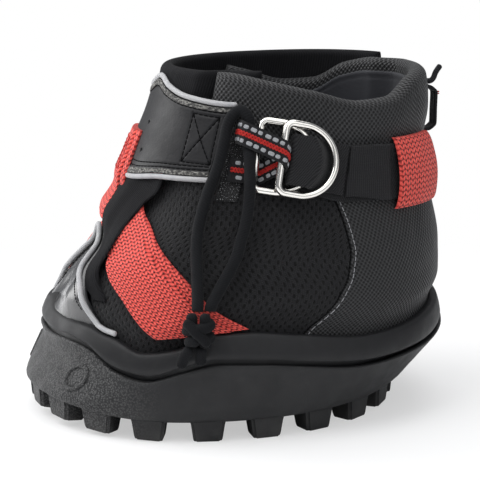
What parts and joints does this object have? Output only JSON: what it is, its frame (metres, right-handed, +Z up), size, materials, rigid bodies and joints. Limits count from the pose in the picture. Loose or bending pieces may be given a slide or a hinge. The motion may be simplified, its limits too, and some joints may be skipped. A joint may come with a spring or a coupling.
{
  "type": "hoof boot",
  "caption": "Low horse hoof boot: studded rubber sole and cup, padded fabric upper with a sprung pastern collar, a knit cuff and a ringed hook-and-loop strap on the left.",
  "frame": {"origin": "centre of the sole's flat tread face, at ground level", "axes": "+Z up, -X to the toe, +X to the heel, -Y to the left side with the rings and the pull cord"},
  "size_m": [0.1788, 0.1461, 0.1415],
  "materials": {
    "sole_rubber": "matt moulded rubber, stippled at the toe",
    "rand_rubber": "satin moulded rubber",
    "toe_cap_gloss": "glossy coated overlay",
    "air_mesh": "padded air mesh with rows of small oval holes",
    "ballistic_cloth": "coarse diamond weave with a slight sheen",
    "knit": "dull knit over foam",
    "smooth_lining": "smooth brushed lining",
    "pad_foam": "matt closed-cell foam",
    "lasting_board": "fibre board",
    "red_webbing": "coarse woven webbing",
    "strap_leather": "smooth synthetic leather with a soft sheen",
    "reflective_piping": "silver-grey reflective piping",
    "closure_strap_cloth": "laminated strap cloth",
    "nickel": "bright nickel plate",
    "tab_ribbon": "woven ribbon with light stitches",
    "hook_patch": "hook tape",
    "cord": "braided cord"
  },
  "bodies": {
    "boot": {"outsole": "sole_rubber", "rand_band": "rand_rubber", "toe_cap": "toe_cap_gloss", "toe_piping_left": "reflective_piping", "toe_piping_right": "reflective_piping", "side_panel_left": "air_mesh", "side_panel_right": "air_mesh", "heel_panel": "ballistic_cloth", "heel_pull_loop": "tab_ribbon", "heel_cord": "cord", "collar": "ballistic_cloth", "collar_lining": "smooth_lining", "boot_lining": "smooth_lining", "insole_board": "lasting_board", "insole_pad": "pad_foam", "front_cuff": "knit", "facing_left": "knit", "facing_right": "knit", "front_strap": "strap_leather", "front_strap_piping_top": "reflective_piping", "front_strap_piping_bottom": "reflective_piping", "red_webbing_left": "red_webbing", "red_webbing_right": "red_webbing", "strap_keeper_left": "red_webbing", "strap_keeper_right": "red_webbing", "closure_strap": "closure_strap_cloth", "hook_patch": "hook_patch", "ring_tab": "tab_ribbon", "pull_cord": "cord", "pull_cord_knot": "cord", "pull_cord_tail_front": "cord", "pull_cord_tail_back": "cord"},
    "outer_ring": {"ring_outer": "nickel"},
    "inner_ring": {"ring_inner": "nickel"},
    "strap_tail": {"closure_tail": "closure_strap_cloth"}
  },
  "joints": [
    {"name": "ring_outer_swing", "type": "hinge", "parent": "boot", "child": "outer_ring", "pos_m": [0.00173, -0.05476, 0.11053], "axis": [-0.2238, -0.1986, -0.9542], "range_deg": [0, 60]},
    {"name": "ring_inner_swing", "type": "hinge", "parent": "boot", "child": "inner_ring", "pos_m": [-0.00623, -0.04764, 0.11092], "axis": [-0.2238, -0.1986, -0.9542], "range_deg": [0, 1.2]},
    {"name": "closure_tail_peel", "type": "hinge", "parent": "boot", "child": "strap_tail", "pos_m": [0.03049, -0.05365, 0.10276], "axis": [-0.2394, -0.2509, -0.9379], "range_deg": [0, 80]}
  ]
}
